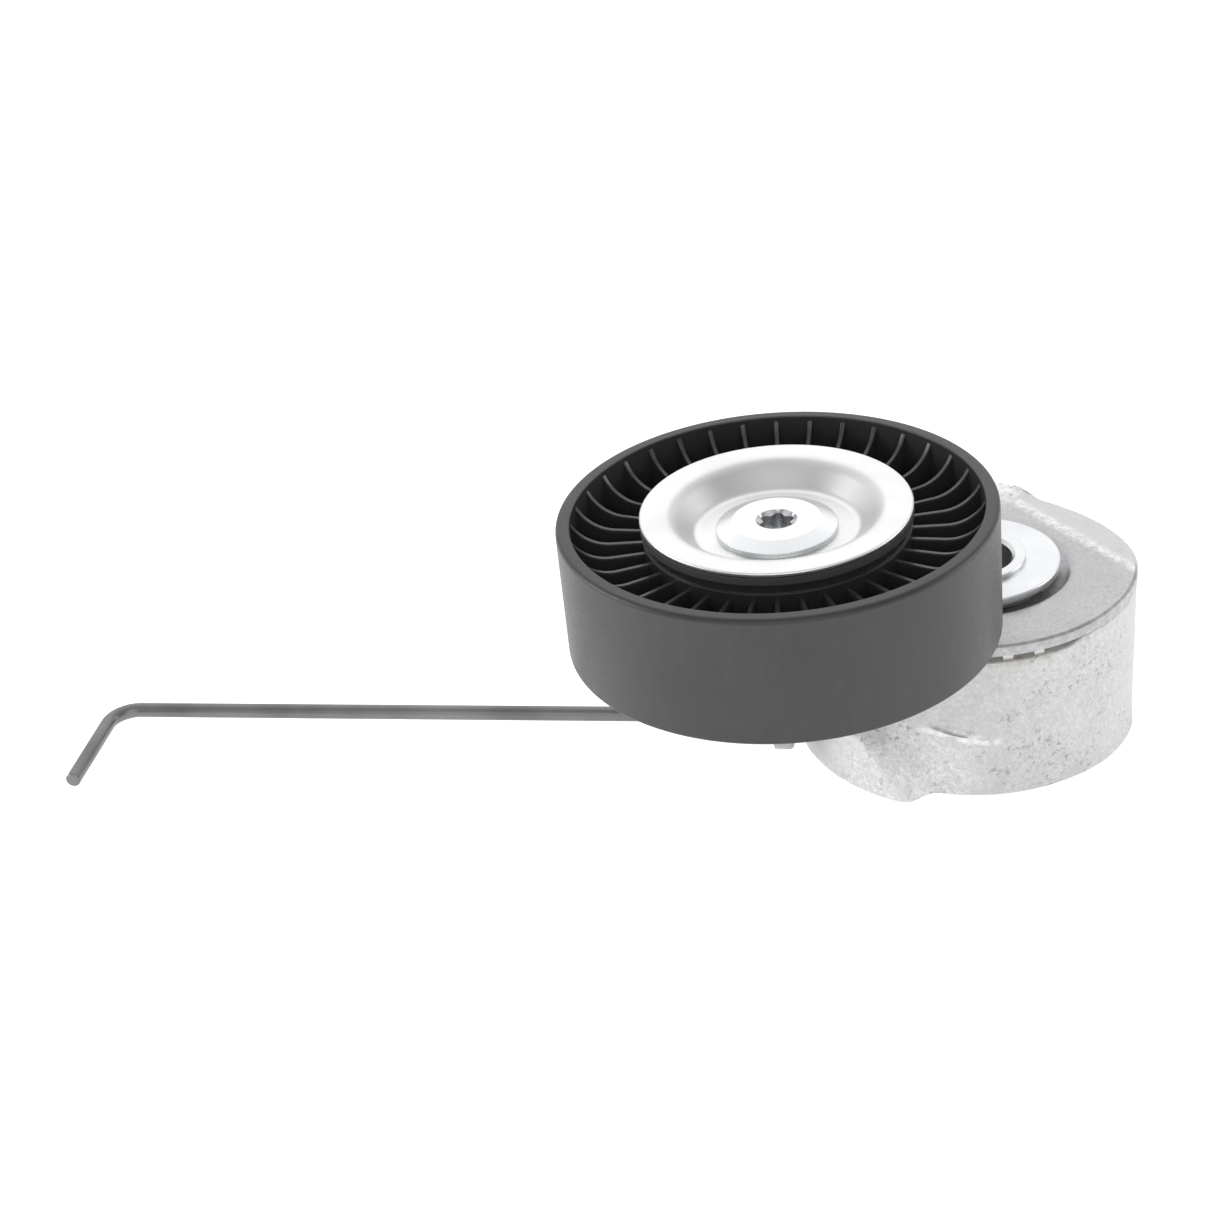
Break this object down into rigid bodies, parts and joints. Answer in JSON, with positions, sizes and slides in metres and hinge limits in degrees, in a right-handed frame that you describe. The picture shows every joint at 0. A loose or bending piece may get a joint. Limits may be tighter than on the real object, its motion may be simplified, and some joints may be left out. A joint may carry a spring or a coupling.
{
  "type": "belt tensioner idler",
  "caption": "Automatic belt tensioner: smooth idler pulley on a sprung cast arm that swings on a round cast base, held for fitting by a long bent wire locking pin.",
  "frame": {"origin": "centre of the mounting bore at the base's engine-side face", "axes": "+Z along the pivot axis, from the engine side towards the pulley; the arm points to -X and -Y, and the locking pin lies to -X"},
  "size_m": [0.2155, 0.0993, 0.0657],
  "materials": {
    "cast_base": "as-cast, mottled",
    "cast_arm": "as-cast, satin",
    "zinc_steel": "bright zinc plate",
    "zinc_sheet": "bright zinc plated sheet",
    "zinc_bolt": "bright zinc plate",
    "grey_steel": "plain steel",
    "bearing_steel": "ground",
    "spring_steel": "dark coated",
    "dark_wire": "dark phosphated",
    "black_nylon": "moulded, semi-matte",
    "bush_plastic": "moulded",
    "white_plastic": "moulded",
    "seal_rubber": "moulded"
  },
  "bodies": {
    "base": {"base_housing": "cast_base", "base_floor": "cast_base", "pivot_tube": "zinc_steel", "pivot_washer": "zinc_steel", "thrust_ring": "grey_steel", "guide_ring": "white_plastic", "lower_thrust_disc": "bush_plastic", "spring_seat": "bush_plastic", "torsion_spring": "spring_steel"},
    "arm": {"tensioner_arm": "cast_arm", "arm_sleeve": "cast_arm", "arm_skirt": "cast_arm", "pivot_bushing": "bush_plastic", "damping_shoe": "bush_plastic", "bearing_inner_ring": "bearing_steel", "dust_cap": "zinc_sheet", "pulley_bolt": "zinc_bolt", "rear_dust_shield": "zinc_sheet"},
    "pulley_wheel": {"pulley": "black_nylon", "bearing_outer_ring": "bearing_steel", "bearing_seal_rear": "seal_rubber", "bearing_seal_front": "seal_rubber"},
    "ball_cage": {"bearing_balls": "bearing_steel", "cage_half_front": "grey_steel", "cage_half_rear": "grey_steel", "cage_rivets": "grey_steel"},
    "pin": {"locking_pin": "dark_wire"}
  },
  "joints": [
    {"name": "arm_swing", "type": "hinge", "parent": "base", "child": "arm", "pos_m": [0, 0, 0], "axis": [0, 0, 1], "range_deg": [-35, 8], "stiffness_Nm_per_rad": 15},
    {"name": "pulley_spin", "type": "hinge", "parent": "arm", "child": "pulley_wheel", "pos_m": [-0.04008, -0.02623, 0.0538], "axis": [0, 0, 1], "continuous": true},
    {"name": "cage_spin", "type": "hinge", "parent": "arm", "child": "ball_cage", "pos_m": [-0.04008, -0.02623, 0.0538], "axis": [0, 0, 1], "continuous": true},
    {"name": "pin_pull", "type": "slide", "parent": "arm", "child": "pin", "axis": [-0.9753, 0.2209, 0], "range_m": [0, 0.018]}
  ],
  "couplings": [
    {"joint": "cage_spin", "follows": "pulley_spin", "ratio": 0.6184}
  ]
}
